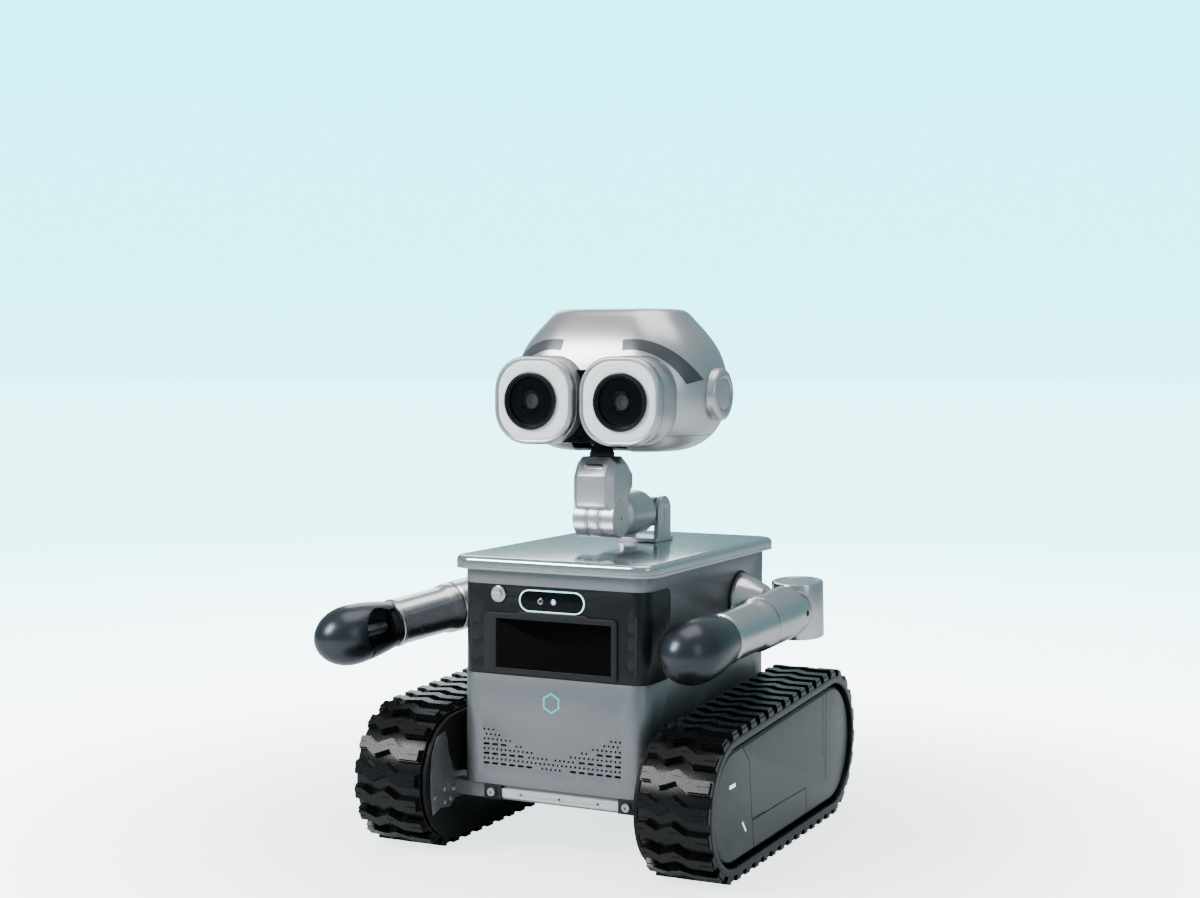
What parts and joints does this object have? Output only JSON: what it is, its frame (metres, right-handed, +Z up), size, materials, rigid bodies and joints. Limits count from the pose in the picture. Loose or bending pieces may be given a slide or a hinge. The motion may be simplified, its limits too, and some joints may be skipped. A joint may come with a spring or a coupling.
{
  "type": "educational coding robot",
  "caption": "Tracked educational robot with a pitching and turning twin-lens head, two jointed arms with gripping hands, a front display and a flat lid.",
  "frame": {"origin": "on the ground under the middle of the body, in its plane of symmetry", "axes": "+Z up, -Y towards the front with the display, +X towards the robot's left"},
  "size_m": [0.6428, 0.5757, 0.7244],
  "materials": {
    "body_paint": "satin metallic paint",
    "lid_silver": "polished silver",
    "bright_aluminium": "brushed",
    "bracket_black": "matt",
    "bolt_steel": "machined",
    "fascia_black": "satin",
    "surround_black": "satin",
    "display_gloss": "gloss",
    "window_gloss": "gloss",
    "button_steel": "satin",
    "speaker_black": "matt",
    "battery_slate": "matt",
    "board_green": "solder mask",
    "motor_metal": "satin",
    "satin_silver": "satin metallic paint",
    "swivel_rubber": "matt",
    "head_silver": "satin metallic paint",
    "eye_white": "satin white",
    "lens_black": "gloss",
    "lens_glass": "clear dark",
    "track_rubber": "moulded",
    "frame_metal": "bead blasted",
    "wheel_dark": "moulded",
    "cover_slate": "satin",
    "arm_silver": "satin metallic paint",
    "hand_gunmetal": "satin metallic"
  },
  "bodies": {
    "chassis": {"body_shell": "body_paint", "base_plate": "body_paint", "front_rail": "bright_aluminium", "rail_brackets": "bracket_black", "chassis_bolts": "bolt_steel", "cross_beams": "body_paint", "lid": "lid_silver", "fascia": "fascia_black", "screen_surround": "surround_black", "display_panel": "display_gloss", "sensor_window": "window_gloss", "button_bezel": "button_steel", "speakers": "speaker_black", "battery_pack": "battery_slate", "control_board": "board_green", "drive_motors": "motor_metal", "shoulder_motors": "motor_metal", "track_axles": "bolt_steel", "left_belt": "track_rubber", "left_track_frame": "frame_metal", "left_side_cover": "cover_slate", "right_belt": "track_rubber", "right_track_frame": "frame_metal", "right_side_cover": "cover_slate", "neck_clevis": "satin_silver"},
    "power_button": {"power_button": "button_steel"},
    "left_sprocket": {"left_sprocket": "wheel_dark"},
    "left_idler": {"left_idler": "wheel_dark"},
    "left_road_wheel_front": {"left_road_wheel_front": "wheel_dark"},
    "left_road_wheel_rear": {"left_road_wheel_rear": "wheel_dark"},
    "right_sprocket": {"right_sprocket": "wheel_dark"},
    "right_idler": {"right_idler": "wheel_dark"},
    "right_road_wheel_front": {"right_road_wheel_front": "wheel_dark"},
    "right_road_wheel_rear": {"right_road_wheel_rear": "wheel_dark"},
    "neck_drum": {"neck_drum": "satin_silver", "neck_base_pin": "bolt_steel"},
    "neck_knuckle": {"neck_knuckle": "satin_silver"},
    "neck_link": {"neck_link": "satin_silver", "neck_upper_pin": "bolt_steel"},
    "neck_swivel": {"neck_swivel": "swivel_rubber"},
    "head": {"head_dome": "head_silver", "head_pan": "head_silver", "front_panel": "window_gloss", "eye_pods": "eye_white", "lens_rings": "lens_black", "lens_glasses": "lens_glass", "eye_cameras": "motor_metal", "ear_caps": "head_silver"},
    "left_upper_arm": {"left_shoulder_arm": "arm_silver", "left_elbow_pin": "bolt_steel"},
    "left_forearm": {"left_forearm": "arm_silver"},
    "left_wrist": {"left_wrist_tube": "arm_silver", "left_hand_shell": "hand_gunmetal"},
    "left_thumb": {"left_thumb": "hand_gunmetal"},
    "right_upper_arm": {"right_shoulder_arm": "arm_silver", "right_elbow_pin": "bolt_steel"},
    "right_forearm": {"right_forearm": "arm_silver"},
    "right_wrist": {"right_wrist_tube": "arm_silver", "right_hand_shell": "hand_gunmetal"},
    "right_thumb": {"right_thumb": "hand_gunmetal"}
  },
  "joints": [
    {"name": "button_press", "type": "slide", "parent": "chassis", "child": "power_button", "axis": [0, 1, 0], "range_m": [0, 0.0025], "stiffness_N_per_m": 800, "springref_m": -0.0005},
    {"name": "left_drive", "type": "hinge", "parent": "chassis", "child": "left_sprocket", "pos_m": [0.198, 0.1744, 0.1055], "axis": [1, 0, 0], "continuous": true},
    {"name": "left_idler_spin", "type": "hinge", "parent": "chassis", "child": "left_idler", "pos_m": [0.198, -0.1993, 0.0957], "axis": [1, 0, 0], "continuous": true},
    {"name": "left_road_wheel_front_spin", "type": "hinge", "parent": "chassis", "child": "left_road_wheel_front", "pos_m": [0.198, -0.06, 0.0574], "axis": [1, 0, 0], "continuous": true},
    {"name": "left_road_wheel_rear_spin", "type": "hinge", "parent": "chassis", "child": "left_road_wheel_rear", "pos_m": [0.198, 0.042, 0.0574], "axis": [1, 0, 0], "continuous": true},
    {"name": "right_drive", "type": "hinge", "parent": "chassis", "child": "right_sprocket", "pos_m": [-0.198, 0.1744, 0.1055], "axis": [1, 0, 0], "continuous": true},
    {"name": "right_idler_spin", "type": "hinge", "parent": "chassis", "child": "right_idler", "pos_m": [-0.198, -0.1993, 0.0957], "axis": [1, 0, 0], "continuous": true},
    {"name": "right_road_wheel_front_spin", "type": "hinge", "parent": "chassis", "child": "right_road_wheel_front", "pos_m": [-0.198, -0.06, 0.0574], "axis": [1, 0, 0], "continuous": true},
    {"name": "right_road_wheel_rear_spin", "type": "hinge", "parent": "chassis", "child": "right_road_wheel_rear", "pos_m": [-0.198, 0.042, 0.0574], "axis": [1, 0, 0], "continuous": true},
    {"name": "neck_lift", "type": "hinge", "parent": "chassis", "child": "neck_drum", "pos_m": [0, 0.078, 0.438], "axis": [-1, 0, 0], "range_deg": [0, 50]},
    {"name": "neck_roll", "type": "hinge", "parent": "neck_drum", "child": "neck_knuckle", "pos_m": [0, -0.02, 0.438], "axis": [0, -1, 0], "range_deg": [-30, 30]},
    {"name": "neck_tilt", "type": "hinge", "parent": "neck_knuckle", "child": "neck_link", "pos_m": [0, -0.069, 0.438], "axis": [1, 0, 0], "range_deg": [-8, 30]},
    {"name": "head_turn", "type": "hinge", "parent": "neck_link", "child": "neck_swivel", "pos_m": [0, -0.066, 0.53], "axis": [0, 0, 1], "range_deg": [-60, 60]},
    {"name": "head_nod", "type": "hinge", "parent": "neck_swivel", "child": "head", "pos_m": [0, -0.066, 0.548], "axis": [1, 0, 0], "range_deg": [-12, 15]},
    {"name": "left_shoulder", "type": "hinge", "parent": "chassis", "child": "left_upper_arm", "pos_m": [0.15, 0.108, 0.309], "axis": [-1, 0, 0], "range_deg": [-8, 44.5]},
    {"name": "left_elbow", "type": "hinge", "parent": "left_upper_arm", "child": "left_forearm", "pos_m": [0.222, 0.108, 0.309], "axis": [0, -0.0785, 0.9969], "range_deg": [0, 81]},
    {"name": "left_wrist_roll", "type": "hinge", "parent": "left_forearm", "child": "left_wrist", "pos_m": [0.20893, -0.01593, 0.29925], "axis": [-0.1045, -0.9915, -0.078], "range_deg": [-90, 90]},
    {"name": "left_thumb_open", "type": "hinge", "parent": "left_wrist", "child": "left_thumb", "pos_m": [0.18854, -0.13061, 0.25862], "axis": [0.9945, -0.1042, -0.0082], "range_deg": [0, 40]},
    {"name": "right_shoulder", "type": "hinge", "parent": "chassis", "child": "right_upper_arm", "pos_m": [-0.15, 0.108, 0.309], "axis": [-1, 0, 0], "range_deg": [-3.8, 48.7]},
    {"name": "right_elbow", "type": "hinge", "parent": "right_upper_arm", "child": "right_forearm", "pos_m": [-0.222, 0.108, 0.309], "axis": [0, 0.1513, -0.9885], "range_deg": [-29, 52]},
    {"name": "right_wrist_roll", "type": "hinge", "parent": "right_forearm", "child": "right_wrist", "pos_m": [-0.27084, -0.00574, 0.29159], "axis": [-0.3907, -0.9099, -0.1392], "range_deg": [-90, 90]},
    {"name": "right_thumb_open", "type": "hinge", "parent": "right_wrist", "child": "right_thumb", "pos_m": [-0.30997, -0.11234, 0.24342], "axis": [0.9205, -0.3862, -0.0591], "range_deg": [0, 40]}
  ],
  "couplings": [
    {"joint": "left_idler_spin", "follows": "left_drive", "ratio": 1.1284},
    {"joint": "left_road_wheel_front_spin", "follows": "left_drive", "ratio": 2.2658},
    {"joint": "left_road_wheel_rear_spin", "follows": "left_drive", "ratio": 2.2658},
    {"joint": "right_idler_spin", "follows": "right_drive", "ratio": 1.1284},
    {"joint": "right_road_wheel_front_spin", "follows": "right_drive", "ratio": 2.2658},
    {"joint": "right_road_wheel_rear_spin", "follows": "right_drive", "ratio": 2.2658}
  ]
}
